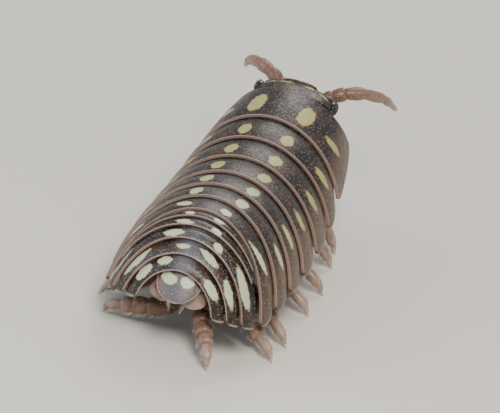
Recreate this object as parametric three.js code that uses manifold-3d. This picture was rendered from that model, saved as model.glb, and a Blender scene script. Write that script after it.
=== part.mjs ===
// A pill woodlouse that stands on its fourteen legs, at life size, in millimetres.
// +Z is up, the floor is the plane z = 0, and the head points along -Y, so that the
// animal's left side is +X. The plates are closed solids that overlap as roof tiles do.
import * as THREE from "three";
import { mergeVertices } from "three/addons/utils/BufferGeometryUtils.js";
import Module from "manifold-3d";

const wasm = await Module();
wasm.setup();
const { lerp, degToRad } = THREE.MathUtils;
const vec = (x, y, z) => new THREE.Vector3(x, y, z);

// Driving dimensions of the whole animal.
const TIP_CLEARANCE = 1.0; // from the floor up to the lower ends of the middle side plates
const ARCH_ANGLE = degToRad(78); // half of the arc that a plate spans
const PIECE_GAP = 0.12; // between one plate and the next, and between other pieces that meet
const LIP = 0.13; // thickness of a plate's free rear edge
const TUCK = 0.03; // how far a plate's front reaches in under the lip before it
const BELLY = 0.64; // depth of the underside, as a share of a plate's height
const CORE = 0.67; // share of the half arch that lies over the body, inside the side plates

// One row for each plate, from neck to tail. Length is what shows along the back, slope is
// the back's tilt at the plate's rear edge in degrees, positive where it falls towards the
// tail, half and height are that edge's half width and height, sweep is how far the side
// plate's lower end lies behind the edge's middle, and thick is the side plate's thickness.
const NECK = { slope: 12, half: 1.5, height: 1.5, sweep: -0.42, thick: 0.34 };
const PEREON = [
  { name: "pereonite_1", length: 1.25, slope: 14, half: 1.88, height: 1.86, sweep: 0.2, thick: 0.38 },
  { name: "pereonite_2", length: 0.93, slope: 11, half: 1.98, height: 1.98, sweep: 0.1, thick: 0.38 },
  { name: "pereonite_3", length: 0.92, slope: 5, half: 2.06, height: 2.04, sweep: 0.12, thick: 0.38 },
  { name: "pereonite_4", length: 0.89, slope: 0, half: 2.1, height: 2.08, sweep: 0.2, thick: 0.38 },
  { name: "pereonite_5", length: 0.83, slope: -2, half: 2.1, height: 2.1, sweep: 0.34, thick: 0.38 },
  { name: "pereonite_6", length: 0.78, slope: 0, half: 2.06, height: 2.2, sweep: 0.6, thick: 0.38 },
  { name: "pereonite_7", length: 0.7, slope: 9, half: 1.94, height: 2.12, sweep: 1.02, thick: 0.34 },
];
// The first two pleonites have no side plates: their ends are tucked in under pereonite 7,
// by so much, and they span only a share of the arch.
const PLEON = [
  { name: "pleonite_1", length: 0.31, slope: 18, tucked: 0.02, across: 0.46, thick: 0.2 },
  { name: "pleonite_2", length: 0.31, slope: 26, tucked: 0.05, across: 0.56, thick: 0.22 },
  { name: "pleonite_3", length: 0.39, slope: 33, half: 1.62, height: 1.24, sweep: 1.2, thick: 0.3 },
  { name: "pleonite_4", length: 0.44, slope: 43, half: 1.29, height: 0.84, sweep: 1.05, thick: 0.28 },
  { name: "pleonite_5", length: 0.42, slope: 60, half: 0.93, height: 0.45, sweep: 0.84, thick: 0.26 },
];

// The head, in a frame of its own that starts at the middle of the neck's edge and tilts
// down in front: each row gives a piece's middle and its half sizes, as left, forward, up.
const HEAD_TILT = degToRad(8);
const HEAD = {
  capsule: { at: [0, 0.2, -0.74], half: [1.02, 0.62, 0.62], power: 0.8 },
  shield: { at: [0, 0.68, -0.36], half: [0.44, 0.14, 0.22], power: 0.8, turn: 0.5 },
  clypeus: { at: [0, 0.68, -1.16], half: [0.44, 0.22, 0.3], power: 0.8 },
  jaws: { at: [0, 0.54, -1.36], half: [0.38, 0.26, 0.28], power: 0.85 },
  lobe: { at: [0.64, 0.66, -0.62], half: [0.24, 0.18, 0.13], power: 0.9 },
  eye: { at: [0.92, 0.46, -0.52], half: [0.13, 0.2, 0.17], power: 1 },
};
const EYE_GAP = 0.07; // between an eye and its socket in the head

// An antenna starts in front of the face. Each row is a joint between two articles, as
// outward, forward and up from the root, and the radius there: five articles of peduncle
// and two of flagellum.
const ANTENNA_ROOT = [0.4, 0.98, -0.8];
const ANTENNA = [
  [0, 0, 0, 0.2],
  [0.1, 0.14, 0.0, 0.24],
  [0.28, 0.32, 0.06, 0.25],
  [0.54, 0.5, 0.14, 0.25],
  [0.92, 0.76, 0.12, 0.25],
  [1.28, 1.26, -0.18, 0.2],
  [1.42, 1.5, -0.42, 0.15],
  [1.52, 1.8, -0.74, 0.06],
];

// The telson's rounded plate, and beside it a uropod's two branches: the flat outer one and
// the small inner cone. Places are measured along the telson from its hidden front edge,
// outward from the animal's middle, and down from the telson's surface.
const TELSON = { length: 0.75, half: 0.55, slope: 67, crown: 0.15, thick: 0.2, widest: 0.3 };
const EXOPOD = { out: 0.47, along: 0.48, sunk: 0.52, half: [0.25, 0.3, 0.09], lean: 0.45 };
const ENDOPOD = { out: 0.14, from: 0.4, to: 0.88, sunk: 0.56, root: 0.11, tip: 0.05 };

// Legs. The root's distance from the middle is a share of the plate's half width. The knee
// lies inward of the root and a little below the side plate, and the outer part bends at a
// share of its length, dropping there below the knee.
const LEG = { rootOut: 0.46, rootAlong: 0.6, kneeIn: 0.26, kneeUnder: 0.12, ankle: 0.24 };
const LEG_BEND = { at: 0.6, drop: 0.24, kneeBehind: 0.3, ankleIn: 0.06 };
// Radius at each article's far end, and where that end lies from the knee to the ankle.
const ARTICLES = [
  { name: "ischium", wide: 0.25, end: 0.3 },
  { name: "merus", wide: 0.25, end: 0.52 },
  { name: "carpus", wide: 0.23, end: 0.72 },
  { name: "propodus", wide: 0.16, end: 1 },
];
const BASIS_RADIUS = 0.25;
const SOLE_RADIUS = 0.11;
// Where each leg's foot stands: outward from the middle and behind the root. The last pair
// reaches back under the tail, so its knees have places of their own: outward, behind, up.
const STANCE = [
  { left: { foot: [1.75, -0.45] }, right: { foot: [1.85, -0.15] } },
  { left: { foot: [2.05, -0.1] }, right: { foot: [2.0, -0.4] } },
  { left: { foot: [2.15, -0.25] }, right: { foot: [2.25, 0.1] } },
  { left: { foot: [2.35, 0.25] }, right: { foot: [2.3, 0.35] } },
  { left: { foot: [2.3, 0.15] }, right: { foot: [2.35, 1.35] } },
  { left: { foot: [2.25, 0.7] }, right: { foot: [2.3, 1.5] } },
  {
    left: { foot: [1.9, 0.95], knee: [0.28, 1.05, 0.66] },
    right: { foot: [1.13, 2.3], knee: [0.45, 1.2, 0.9] },
  },
];

// The underside of the tail: a core of flesh under the pleonites, and five pairs of gills.
const TAIL_CORE = { across: 0.36, sunk: 0.56, level: 1.56, toShare: 0.7 };
const GILL = { pairs: 5, front: 6.4, rear: 6.98, out: [0.26, 0.18], half: [0.28, 0.22], level: [1.6, 1.46] };
const FLAP = { long: 0.24, thick: 0.11, tilt: 0.4 };

// The rear edge of each plate is an arch in a leaning plane: top is the middle of the back
// and tip is the side plate's lower end, both in the plane x = 0.
function makeEdges() {
  const edges = [{ ...NECK, top: vec(0, 0, 0) }];
  for (const plate of [...PEREON, ...PLEON]) {
    const before = edges.at(-1);
    const slope = degToRad((before.slope + plate.slope) / 2);
    const step = vec(0, Math.cos(slope), -Math.sin(slope)).multiplyScalar(plate.length);
    edges.push({ ...plate, top: before.top.clone().add(step) });
  }
  edges.forEach((edge) => {
    const slope = degToRad(edge.slope);
    edge.along = vec(0, Math.cos(slope), -Math.sin(slope));
    edge.normal = vec(0, Math.sin(slope), Math.cos(slope));
    if (edge.tucked) {
      const cover = edges[PEREON.length];
      edge.half = cover.half - edge.tucked;
      edge.tip = cover.tip.clone().addScaledVector(cover.along, edge.tucked);
    } else {
      edge.tip = edge.top.clone().addScaledVector(edge.normal, -edge.height);
      edge.tip.addScaledVector(edge.along, edge.sweep);
    }
  });
  const rise = TIP_CLEARANCE - edges[4].tip.z;
  for (const edge of edges) {
    edge.top.z += rise;
    edge.tip.z += rise;
  }
  return edges;
}
const EDGES = makeEdges();

// A share of the arch, 0 at the middle of the back and 1 at the side plate's lower end,
// gives a share of the half width and a share of the height.
const archWidth = (a) => Math.sin(a * ARCH_ANGLE) / Math.sin(ARCH_ANGLE);
const archDrop = (a) => (1 - Math.cos(a * ARCH_ANGLE)) / (1 - Math.cos(ARCH_ANGLE));

function edgePoint(k, a) {
  const edge = EDGES[k];
  const point = edge.top.clone().lerp(edge.tip, archDrop(a));
  point.x = edge.half * archWidth(a);
  return point;
}

// At an edge: the way towards the tail along the plates, and the way into the body.
const BESIDE = 0.01; // how far to each side of a share the direction across is measured
function edgeFrame(k, a) {
  const last = EDGES.length - 1;
  const back = edgePoint(Math.min(k + 1, last), a).sub(edgePoint(Math.max(k - 1, 0), a)).normalize();
  const across = edgePoint(k, a + BESIDE).sub(edgePoint(k, a - BESIDE)).normalize();
  const inward = back.clone().cross(across).normalize();
  if (k === 0 || k === last) back.copy(EDGES[k].along);
  return { back, inward };
}

// A point of plate k at a share a across, a share u along and a depth under the surface.
function underPlate(k, a, u, depth) {
  const [front, rear] = [edgeFrame(k - 1, a), edgeFrame(k, a)];
  const inward = front.inward.lerp(rear.inward, u).normalize();
  const back = front.back.lerp(rear.back, u).normalize();
  const point = edgePoint(k - 1, a).lerp(edgePoint(k, a), u).addScaledVector(inward, depth);
  return { point, back };
}

// The underside of pereonite k, at a distance x from the middle and a share u along.
function bellyPoint(k, x, u) {
  const [front, rear] = [EDGES[k - 1], EDGES[k]].map((edge) =>
    edge.top.clone().addScaledVector(edge.normal, -BELLY * edge.height));
  return front.lerp(rear, u).setX(x);
}

// Moves every vertex of a three.js geometry and returns it as a closed solid's geometry.
const MERGE = 1e-5;
function shaped(geometry, move) {
  const { position } = geometry.attributes;
  for (let i = 0; i < position.count; i++) {
    const point = move(vec(position.getX(i), position.getY(i), position.getZ(i)));
    position.setXYZ(i, point.x, point.y, point.z);
  }
  geometry.deleteAttribute("normal");
  geometry.deleteAttribute("uv");
  return mergeVertices(geometry, MERGE);
}

function toSolid(geometry) {
  const vertProperties = geometry.attributes.position.array;
  const triVerts = new Uint32Array(geometry.index.array);
  return new wasm.Manifold(new wasm.Mesh({ numProp: 3, vertProperties, triVerts }));
}

// A solid's largest closed surface, as a geometry, without the slivers that joining leaves.
const SLIVER = 0.008;
function toGeometry(solid) {
  const largest = solid.decompose().sort((a, b) => b.volume() - a.volume())[0];
  const mesh = largest.asOriginal().simplify(SLIVER).getMesh();
  const geometry = new THREE.BufferGeometry();
  geometry.setAttribute("position", new THREE.BufferAttribute(mesh.vertProperties, 3));
  return geometry.setIndex(new THREE.BufferAttribute(mesh.triVerts, 1));
}

const joined = (pieces) => pieces.map(toSolid).reduce((a, b) => a.add(b));

// Where the vertices of a plate stand across the half arch, closer together at its end.
const ACROSS = [0, 0.14, 0.28, 0.42, 0.55, CORE, 0.78, 0.87, 0.93, 0.97, 1];
const ALONG = 3; // steps along a plate
const LAYERS = 3; // steps from a plate's inside to its outside
const ROUND_FROM = 0.9; // where the side plate's lower end starts to round off
const ROUND_OFF = 0.34; // how much of the length the rounding takes from each end
const STEP_SHARE = 0.4; // most of a plate's own length that the step under its lip takes
const LEDGE = 0.02; // how much deeper than the lip the step behind it starts

// A plate is a box bent into an arch. x runs across, y along and z from inside to outside.
function plateGeometry(k) {
  const plate = EDGES[k];
  const steps = ACROSS.length - 1;
  const reach = plate.across ?? 1;
  const isPereonite = k <= PEREON.length;
  const frontInset = k === 1 ? LIP : LIP + PIECE_GAP;
  return shaped(new THREE.BoxGeometry(2, 1, 1, 2 * steps, ALONG, LAYERS), (v) => {
    const side = Math.sign(v.x);
    const a = side * ACROSS[Math.round(Math.abs(v.x) * steps)] * reach;
    const layer = Math.round((v.z + 0.5) * LAYERS);
    const isFront = Math.round((v.y + 0.5) * ALONG) === 0;
    const isRear = Math.round((v.y + 0.5) * ALONG) === ALONG;
    const q = Math.max(0, (Math.abs(a) - ROUND_FROM) / (1 - ROUND_FROM));
    const cut = ROUND_OFF * (1 - Math.sqrt(1 - q * q));
    const u = lerp(cut, 1 - cut, v.y + 0.5);
    const inset = frontInset * (1 - u) ** 2;
    const inside = plate.thick + inset;
    const layers = isFront
      ? [inside, lerp(inside, inset, 1 / 3), lerp(inside, inset, 2 / 3), inset]
      : [inside, LIP + LEDGE + inset, LIP + inset, inset];
    let setBack = 0;
    if (isFront && k > 1) setBack = TUCK;
    if (isRear && layer < 2) {
      const length = edgePoint(k, a).distanceTo(edgePoint(k - 1, a));
      setBack = Math.min(PIECE_GAP + 2 * TUCK, STEP_SHARE * length);
    }
    const inBody = isPereonite && layer === 0 && Math.abs(a) <= CORE + MERGE;
    const { point, back } = underPlate(k, inBody ? side * CORE : a, u, layers[layer]);
    if (inBody) point.copy(bellyPoint(k, (point.x * Math.abs(a)) / CORE, u));
    return point.addScaledVector(back, -setBack);
  });
}

// A tube through a line of stations, each a point with a radius. Where a station is flat,
// its ring faces that way, and lead is the way that the rings' first vertices keep to.
function sweptGeometry(stations, sides, lead) {
  const count = stations.length - 1;
  let over = lead;
  const rings = stations.map(({ point, wide, flat }, i) => {
    const [before, after] = [stations[Math.max(i - 1, 0)], stations[Math.min(i + 1, count)]];
    const way = flat ?? after.point.clone().sub(before.point).normalize();
    over = over.clone().addScaledVector(way, -over.dot(way)).normalize();
    return { point, wide, over, beside: way.clone().cross(over) };
  });
  return shaped(new THREE.CylinderGeometry(1, 1, 1, sides, count), (v) => {
    const ring = rings[Math.round((0.5 - v.y) * count)];
    const point = ring.point.clone().addScaledVector(ring.over, v.x * ring.wide);
    return point.addScaledVector(ring.beside, v.z * ring.wide);
  });
}

// Adds to a line of joints the swelling in the middle of each article and the waist at its end.
const SWELL = { at: 0.55, by: 1.08, waist: 0.92 };
function articled(joints) {
  return joints.flatMap((joint, i) => {
    if (i === 0) return [joint];
    const before = joints[i - 1];
    const point = before.point.clone().lerp(joint.point, SWELL.at);
    const swelling = { point, wide: lerp(before.wide, joint.wide, SWELL.at) * SWELL.by };
    return [swelling, { ...joint, wide: joint.wide * SWELL.waist }];
  });
}

// From the head's own frame to the animal's: left, forward and up from the neck's edge.
const NECK_EDGE = EDGES[0];
function headPoint(left, forward, up) {
  const point = vec(left, -forward, up).applyAxisAngle(vec(1, 0, 0), -HEAD_TILT);
  return point.add(NECK_EDGE.top);
}

// Keeps a point clear of the front of the first plate, which is a leaning plane.
function clearOfNeck(point) {
  const wall = NECK_EDGE.tip.clone().sub(NECK_EDGE.top).normalize();
  const out = vec(0, wall.z, -wall.y);
  const distance = point.clone().sub(NECK_EDGE.top).dot(out);
  return distance < PIECE_GAP ? point.addScaledVector(out, PIECE_GAP - distance) : point;
}

// One rounded piece of the head: a ball squared off by a power and stretched.
// A side of 0 is the middle piece that the neck's edge cuts flat.
function headPiece({ at, half, power, turn = 0 }, side, grown, [around, down]) {
  const square = (t) => Math.sign(t) * Math.abs(t) ** power;
  return shaped(new THREE.SphereGeometry(1, around, down), (v) => {
    const p = vec(square(v.x), square(v.z), square(v.y));
    p.multiply(vec(half[0] + grown, half[1] + grown, half[2] + grown));
    p.applyAxisAngle(vec(1, 0, 0), turn);
    const point = headPoint(side * at[0] + p.x, at[1] + p.y, at[2] + p.z);
    return side === 0 ? clearOfNeck(point) : point;
  });
}
const eyeGeometry = (side) => headPiece(HEAD.eye, side, 0, [12, 8]);

// The head is joined from its pieces, and a socket for each eye is cut out of it.
function headGeometry() {
  const small = [12, 8];
  let solid = joined([
    headPiece(HEAD.capsule, 0, 0, [20, 12]),
    headPiece(HEAD.shield, 1, 0, small),
    headPiece(HEAD.clypeus, 1, 0, small),
    headPiece(HEAD.jaws, 1, 0, small),
    headPiece(HEAD.lobe, 1, 0, small),
    headPiece(HEAD.lobe, -1, 0, small),
  ]);
  for (const side of [1, -1]) solid = solid.subtract(toSolid(headPiece(HEAD.eye, side, EYE_GAP, small)));
  return toGeometry(solid);
}

function antennaGeometry(side) {
  const [left, forward, up] = ANTENNA_ROOT;
  const joints = ANTENNA.map(([out, ahead, rise, wide]) => ({
    point: headPoint(side * (left + out), forward + ahead, up + rise),
    wide,
  }));
  return sweptGeometry(articled(joints), 8, vec(0, 0, 1));
}

// A point of the tail: to the left, along the telson from its front edge, and outward.
const TAIL_EDGE = EDGES.at(-1);
function tailPoint(left, along, out) {
  const slope = degToRad(TELSON.slope);
  const point = TAIL_EDGE.top.clone().addScaledVector(vec(0, Math.cos(slope), -Math.sin(slope)), along);
  return point.addScaledVector(vec(0, Math.sin(slope), Math.cos(slope)), out).setX(left);
}

// The telson is a flat box with a curved outline that narrows from its widest place to the
// tip, arched across, with its front edge tucked in under the last pleonite.
const TELSON_NECK = 0.5; // its width at the front edge, as a share of the widest
const TELSON_TIP = 0.17; // its width at the tip, as a share of the widest
function telsonGeometry() {
  const { length, half, crown, thick, widest } = TELSON;
  return shaped(new THREE.BoxGeometry(2, 1, 1, 10, 7, 1), (v) => {
    const u = Math.sin(((v.y + 0.5) * Math.PI) / 2);
    const past = Math.max(0, (u - widest) / (1 - widest));
    const outline = Math.max(TELSON_TIP, Math.sqrt(1 - past * past));
    const wide = half * outline * lerp(TELSON_NECK, 1, Math.min(1, u / widest));
    const x = wide * Math.sin((v.x * Math.PI) / 2);
    const inset = (LIP + PIECE_GAP) * (1 - u) ** 2 + crown * (x / half) ** 2;
    return tailPoint(x, lerp(-TUCK, length, u), -inset - (v.z < 0 ? thick : 0));
  });
}

// A uropod: the outer branch is a rounded plate that fills the notch beside the telson, and
// the inner branch is a small cone under it.
const EXOPOD_CURVE = 0.3;
function uropodGeometry(side) {
  const [wide, long, deep] = EXOPOD.half;
  const plate = shaped(new THREE.SphereGeometry(1, 14, 8), (v) => {
    const p = vec(v.x * wide, -v.z * long, v.y * deep);
    p.applyAxisAngle(vec(0, 0, 1), -side * EXOPOD.lean);
    const drop = EXOPOD.sunk + EXOPOD_CURVE * Math.max(0, p.x * side) ** 2;
    return tailPoint(side * EXOPOD.out + p.x, EXOPOD.along + p.y, p.z - drop);
  });
  const cone = [0, 0.5, 1].map((t) => ({
    point: tailPoint(
      side * lerp(EXOPOD.out, ENDOPOD.out, Math.sqrt(t)),
      lerp(ENDOPOD.from, ENDOPOD.to, t),
      -ENDOPOD.sunk,
    ),
    wide: lerp(ENDOPOD.root, ENDOPOD.tip, t),
  }));
  return toGeometry(joined([plate, sweptGeometry(cone, 8, vec(0, 0, 1))]));
}

// A leg: the basis runs from the root to the knee, and the other articles follow a bent line
// from the knee to the ankle, from which the claw stands on its flat sole.
function legGeometry(k, side) {
  const { foot: [reach, behind], knee: ownKnee } = STANCE[k - 1][side > 0 ? "left" : "right"];
  const edge = EDGES[k];
  const rootOut = LEG.rootOut * edge.half;
  const root = bellyPoint(k, side * rootOut, LEG.rootAlong).addScaledVector(edge.normal, -PIECE_GAP);
  const place = ownKnee ?? [rootOut - LEG.kneeIn, LEG_BEND.kneeBehind * behind, edge.tip.z - LEG.kneeUnder];
  const knee = vec(side * place[0], root.y + place[1], place[2]);
  const foot = vec(side * reach, root.y + behind, 0);
  const ankle = foot.clone().lerp(knee, LEG_BEND.ankleIn).setZ(LEG.ankle);
  const bend = knee.clone().lerp(ankle, LEG_BEND.at).setZ(knee.z - LEG_BEND.drop);
  const outer = new THREE.QuadraticBezierCurve3(knee, bend, ankle);
  const joints = [
    { point: root, wide: BASIS_RADIUS, flat: edge.normal.clone().negate() },
    { point: knee, wide: BASIS_RADIUS },
    ...ARTICLES.map(({ wide, end }) => ({ point: outer.getPoint(end), wide })),
    { point: foot, wide: SOLE_RADIUS, flat: vec(0, 0, -1) },
  ];
  return sweptGeometry(articled(joints), 8, vec(0, 1, 0));
}

// The underside of the tail: flesh under the pleonites, with the gills as overlapping flaps.
function tailCoreGeometry() {
  const rows = PLEON.length;
  return shaped(new THREE.BoxGeometry(2, 1, 1, 8, rows, 1), (v) => {
    const row = (v.y + 0.5) * rows;
    const k = PEREON.length + Math.max(1, Math.ceil(row));
    const u = row - (k - PEREON.length - 1);
    const { point } = underPlate(k, v.x * TAIL_CORE.across, Math.min(u, TAIL_CORE.toShare), TAIL_CORE.sunk);
    if (v.z < 0) point.z = TAIL_CORE.level;
    return point;
  });
}

function pleopodGeometry() {
  const flaps = [];
  for (let i = 0; i < GILL.pairs; i++) {
    const t = i / (GILL.pairs - 1);
    const centre = vec(lerp(...GILL.out, t), lerp(GILL.front, GILL.rear, t), lerp(...GILL.level, t));
    const wide = lerp(...GILL.half, t);
    for (const side of [1, -1]) {
      flaps.push(shaped(new THREE.SphereGeometry(1, 10, 6), (v) => {
        const p = vec(v.x * wide, -v.z * FLAP.long, v.y * FLAP.thick).applyAxisAngle(vec(1, 0, 0), FLAP.tilt);
        return p.add(vec(side * centre.x, centre.y, centre.z));
      }));
    }
  }
  return toGeometry(joined([tailCoreGeometry(), ...flaps]));
}

const group = new THREE.Group();
function addMesh(name, geometry, finish) {
  const mesh = new THREE.Mesh(geometry, finish);
  mesh.name = name;
  group.add(mesh);
}
const finish = (color, roughness) => new THREE.MeshStandardMaterial({ color, roughness, metalness: 0 });
const SHELL = finish(0x33281f, 0.45);
const LIMB = finish(0x7a5a41, 0.5);
const EYE_BLACK = finish(0x0c0a0a, 0.2);
const GILL_PALE = finish(0xb9ab96, 0.6);

addMesh("head", headGeometry(), SHELL);
for (let k = 1; k < EDGES.length; k++) addMesh(EDGES[k].name, plateGeometry(k), SHELL);
addMesh("telson", telsonGeometry(), SHELL);
addMesh("pleopods", pleopodGeometry(), GILL_PALE);
for (const [hand, side] of [["left", 1], ["right", -1]]) {
  addMesh(`eye_${hand}`, eyeGeometry(side), EYE_BLACK);
  addMesh(`antenna_${hand}`, antennaGeometry(side), LIMB);
  addMesh(`uropod_${hand}`, uropodGeometry(side), SHELL);
  for (let k = 1; k <= PEREON.length; k++) addMesh(`leg_${k}_${hand}`, legGeometry(k, side), LIMB);
}

// The origin is on the floor, under the middle of the animal's whole box.
const box = new THREE.Box3().setFromObject(group);
group.position.set(-(box.min.x + box.max.x) / 2, -(box.min.y + box.max.y) / 2, -box.min.z);
export default group;
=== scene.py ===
import bpy
import random
from math import cos, hypot, pi, radians, sin, sqrt
from mathutils import Matrix, Vector


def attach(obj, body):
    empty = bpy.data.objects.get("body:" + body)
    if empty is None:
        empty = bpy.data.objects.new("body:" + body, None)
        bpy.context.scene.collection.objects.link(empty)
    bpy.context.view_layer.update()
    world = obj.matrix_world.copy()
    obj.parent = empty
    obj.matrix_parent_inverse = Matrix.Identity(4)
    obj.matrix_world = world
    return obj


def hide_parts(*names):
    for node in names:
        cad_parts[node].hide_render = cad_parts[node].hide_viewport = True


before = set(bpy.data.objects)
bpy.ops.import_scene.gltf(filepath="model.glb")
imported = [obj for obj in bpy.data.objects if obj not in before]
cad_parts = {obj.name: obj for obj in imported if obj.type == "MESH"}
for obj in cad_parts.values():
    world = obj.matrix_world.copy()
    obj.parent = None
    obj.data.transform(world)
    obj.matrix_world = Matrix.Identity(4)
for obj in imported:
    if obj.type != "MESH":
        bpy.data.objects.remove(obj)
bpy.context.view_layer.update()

bpy.ops.object.select_all(action="DESELECT")

# Floor, light and camera. A pale matt floor under a big soft light, as on a museum table.
# The camera looks down on the tail from behind, a little from the animal's right, rolled
# as the photo's was, through a long lens.
MM = 0.001
FLOOR_SIZE = 0.6  # metres
FLOOR_DROP_MM = 0.02


def linear(hex_colour):
    """An sRGB hex value as linear red, green, blue and alpha."""
    parts = [int(hex_colour[i:i + 2], 16) / 255 for i in (1, 3, 5)]
    return [c / 12.92 if c <= 0.04045 else ((c + 0.055) / 1.055) ** 2.4 for c in parts] + [1.0]


def node(material, kind, inputs=(), **settings):
    """Adds a node with its settings. inputs is pairs of socket and value or output to link."""
    made = material.node_tree.nodes.new(kind)
    for key, value in settings.items():
        setattr(made, key, value)
    for key, value in inputs:
        if isinstance(value, bpy.types.NodeSocket):
            material.node_tree.links.new(value, made.inputs[key])
        else:
            made.inputs[key].default_value = value
    return made


def new_material(name):
    """A material and its principled shader."""
    material = bpy.data.materials.new(name)
    material.use_nodes = True
    return material, material.node_tree.nodes["Principled BSDF"]


paper, shader = new_material("matt_pale_card")
shader.inputs["Base Color"].default_value = linear("#d9d6cf")
shader.inputs["Roughness"].default_value = 0.9
bpy.ops.mesh.primitive_plane_add(size=FLOOR_SIZE, location=(0, 0, -FLOOR_DROP_MM * MM))
floor = bpy.context.object
floor.name = "floor"
floor.data.materials.append(paper)

world = bpy.data.worlds.new("soft_room")
world.use_nodes = True
world.node_tree.nodes["Background"].inputs["Color"].default_value = linear("#e8edf2")
world.node_tree.nodes["Background"].inputs["Strength"].default_value = 0.55
bpy.context.scene.world = world


def softbox(name, place, size, power, colour):
    """A square light aimed at the part, with its place and size in metres."""
    bpy.ops.object.light_add(type="AREA", location=place)
    light = bpy.context.object
    light.name = name
    light.rotation_euler = (-Vector(place)).to_track_quat("-Z", "Y").to_euler()
    light.data.size = size
    light.data.energy = power
    light.data.color = linear(colour)[:3]


softbox("key_softbox", (-0.02, 0.045, 0.06), 0.03, 0.055, "#fff6ea")
softbox("fill_softbox", (0.06, 0.03, 0.03), 0.05, 0.02, "#e6efff")
softbox("rim_softbox", (0.0, -0.06, 0.06), 0.04, 0.03, "#fff8f0")

VIEW = {"azimuth": -12.96, "elevation": 25.4, "roll": 11.21, "distance": 250.0}
PIXELS_PER_MM = 43.1
AIM = Vector((0, 5.457, 1.383))  # the telson's tip
AIM_OFFSET = (1.355, 2.55)  # from there to the frame's middle, to the right and up
FRAME_WIDTH = 500
SENSOR_MM = 36

back_to_camera = Vector((
    sin(radians(VIEW["azimuth"])) * cos(radians(VIEW["elevation"])),
    cos(radians(VIEW["azimuth"])) * cos(radians(VIEW["elevation"])),
    sin(radians(VIEW["elevation"])),
))
right = Vector((0, 0, 1)).cross(back_to_camera).normalized()
up = back_to_camera.cross(right)
aim = AIM + right * AIM_OFFSET[0] + up * AIM_OFFSET[1]
bpy.ops.object.camera_add(location=(aim + back_to_camera * VIEW["distance"]) * MM)
camera = bpy.context.object
roll = Matrix.Rotation(radians(VIEW["roll"]), 3, back_to_camera)
turned = Matrix((roll @ right, roll @ up, back_to_camera)).transposed()
camera.rotation_euler = turned.to_euler()
camera.data.sensor_width = SENSOR_MM
camera.data.lens = SENSOR_MM * VIEW["distance"] * PIXELS_PER_MM / FRAME_WIDTH
camera.data.clip_start = 0.001
camera.data.clip_end = 5
bpy.context.scene.camera = camera

# The twelve back plates. Each is a thin sheet of dark cuticle, arched over the body, with
# its front slid in under the plate before it and a rounded pale rim along the free edges.
# Sizes are in millimetres and repeat the solids' edges, one row for each plate's rear edge.
ARCH = radians(78)
TIP_CLEARANCE = 1.0  # the middle plate's lower end above the floor
ORIGIN = Vector((-0.0014, -2.606, 0))  # the neck's place across and along
NECK = {"slope": 12, "half": 1.5, "height": 1.5, "sweep": -0.42}
PLATES = [
    {"name": "pereonite_1", "length": 1.25, "slope": 14, "half": 1.88, "height": 1.86, "sweep": 0.2},
    {"name": "pereonite_2", "length": 0.93, "slope": 11, "half": 1.98, "height": 1.98, "sweep": 0.1},
    {"name": "pereonite_3", "length": 0.92, "slope": 5, "half": 2.06, "height": 2.04, "sweep": 0.12},
    {"name": "pereonite_4", "length": 0.89, "slope": 0, "half": 2.1, "height": 2.08, "sweep": 0.2},
    {"name": "pereonite_5", "length": 0.83, "slope": -2, "half": 2.1, "height": 2.1, "sweep": 0.34},
    {"name": "pereonite_6", "length": 0.78, "slope": 0, "half": 2.06, "height": 2.2, "sweep": 0.6},
    {"name": "pereonite_7", "length": 0.7, "slope": 9, "half": 1.94, "height": 2.12, "sweep": 1.02},
    {"name": "pleonite_1", "length": 0.31, "slope": 18, "tucked": 0.02, "across": 0.6},
    {"name": "pleonite_2", "length": 0.31, "slope": 26, "tucked": 0.05, "across": 0.66},
    {"name": "pleonite_3", "length": 0.39, "slope": 33, "half": 1.62, "height": 1.24, "sweep": 1.2},
    {"name": "pleonite_4", "length": 0.44, "slope": 43, "half": 1.29, "height": 0.84, "sweep": 1.05},
    {"name": "pleonite_5", "length": 0.42, "slope": 60, "half": 0.93, "height": 0.45, "sweep": 0.84},
]
PEREONITES = 7
MIDDLE_PLATE = 4


def plate_edges():
    """The arches that the plates' rear edges follow, from the neck to the last pleonite."""
    edges = [dict(NECK, top=Vector((0, 0, 0)))]
    for plate in PLATES:
        slope = radians((edges[-1]["slope"] + plate["slope"]) / 2)
        step = Vector((0, cos(slope), -sin(slope))) * plate["length"]
        edges.append(dict(plate, top=edges[-1]["top"] + step))
    for edge in edges:
        slope = radians(edge["slope"])
        edge["along"] = Vector((0, cos(slope), -sin(slope)))
        edge["normal"] = Vector((0, sin(slope), cos(slope)))
        if "tucked" in edge:
            cover = edges[PEREONITES]
            edge["half"] = cover["half"] - edge["tucked"]
            edge["tip"] = cover["tip"] + cover["along"] * edge["tucked"]
            edge["height"] = (edge["top"] - edge["tip"]).dot(edge["normal"])
        else:
            edge["tip"] = edge["top"] - edge["normal"] * edge["height"] + edge["along"] * edge["sweep"]
    shift = ORIGIN + Vector((0, 0, TIP_CLEARANCE - edges[MIDDLE_PLATE]["tip"].z))
    for edge in edges:
        edge["top"] = edge["top"] + shift
        edge["tip"] = edge["tip"] + shift
    return edges


EDGES = plate_edges()


def edge_point(k, a):
    """A point of edge k at a share a of its half arch: 0 on the back, 1 at the lower end."""
    drop = (1 - cos(a * ARCH)) / (1 - cos(ARCH))
    point = EDGES[k]["top"].lerp(EDGES[k]["tip"], drop)
    point.x = EDGES[k]["half"] * sin(a * ARCH) / sin(ARCH) + ORIGIN.x
    return point


def edge_inward(k, a):
    """The direction from edge k into the body."""
    last = len(EDGES) - 1
    back = edge_point(min(k + 1, last), a) - edge_point(max(k - 1, 0), a)
    across = edge_point(k, a + 0.01) - edge_point(k, a - 0.01)
    return back.cross(across).normalized()


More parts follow.
